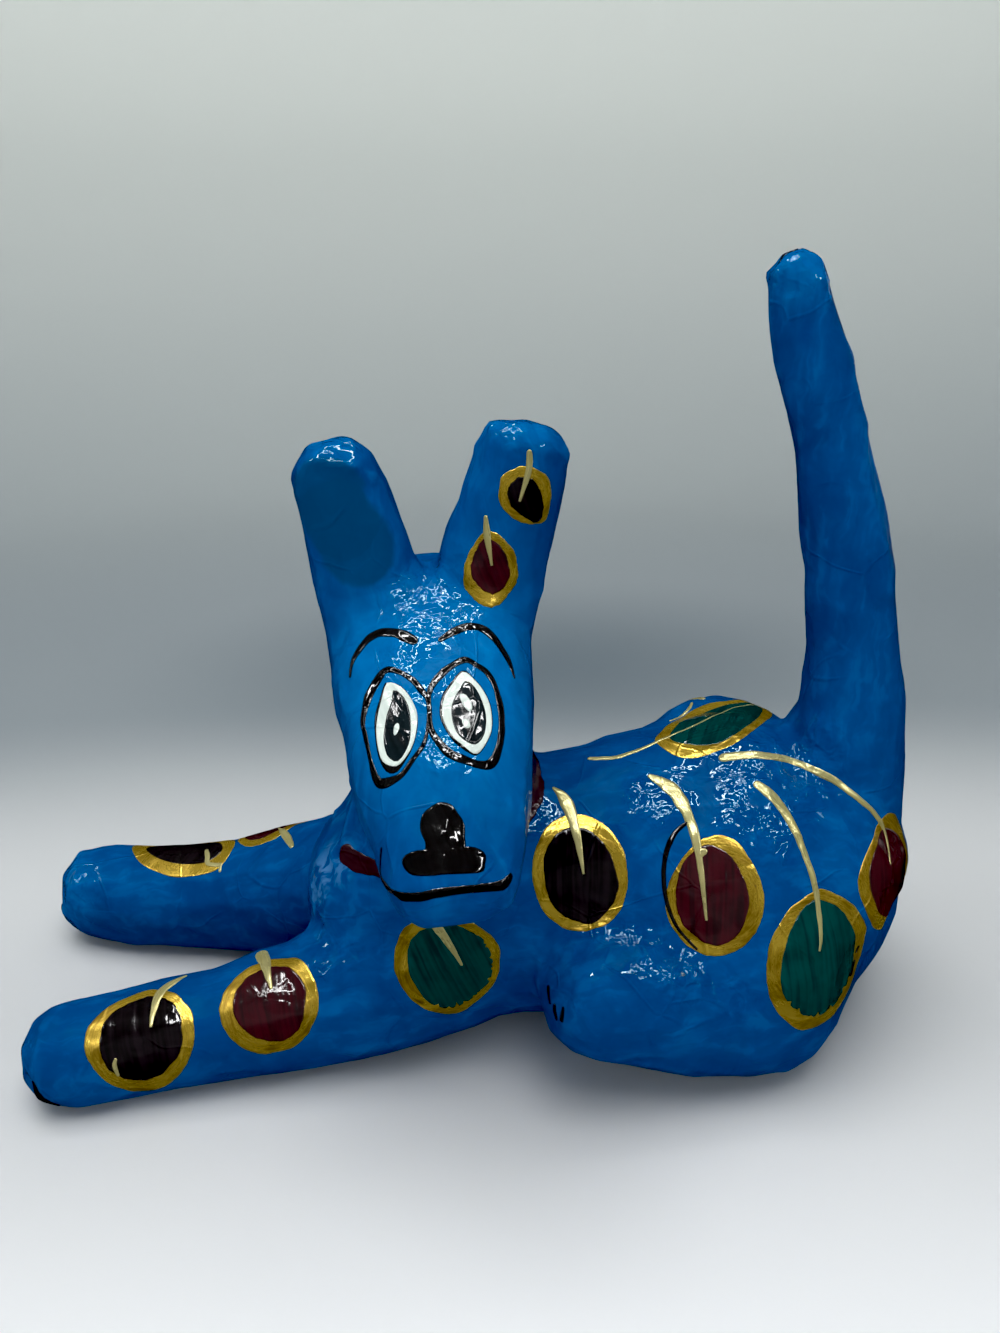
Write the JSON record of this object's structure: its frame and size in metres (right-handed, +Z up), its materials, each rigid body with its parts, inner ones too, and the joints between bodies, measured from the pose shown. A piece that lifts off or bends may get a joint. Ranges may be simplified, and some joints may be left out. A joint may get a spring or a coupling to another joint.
{
  "type": "papier-mache dog",
  "caption": "Papier-mache dog lying down with its front legs stretched out, its head turned to one side, upright ears and a tall tail; gloss painted with ringed spots",
  "frame": {"origin": "on the table, under the middle of the dog's box", "axes": "+Z up, +X from the front paws towards the rump, and the face looks along -Y"},
  "size_m": [0.3484, 0.1766, 0.2872],
  "materials": {
    "blue_enamel": "gloss blue enamel brushed over papier-mache",
    "gold_paint": "metallic gold paint laid on with a brush",
    "black_paint": "gloss black paint",
    "dark_red_paint": "gloss dark red paint",
    "dark_green_paint": "gloss dark green paint",
    "white_paint": "white paint"
  },
  "bodies": {
    "root": {"papier_mache_dog": "blue_enamel"}
  },
  "joints": []
}
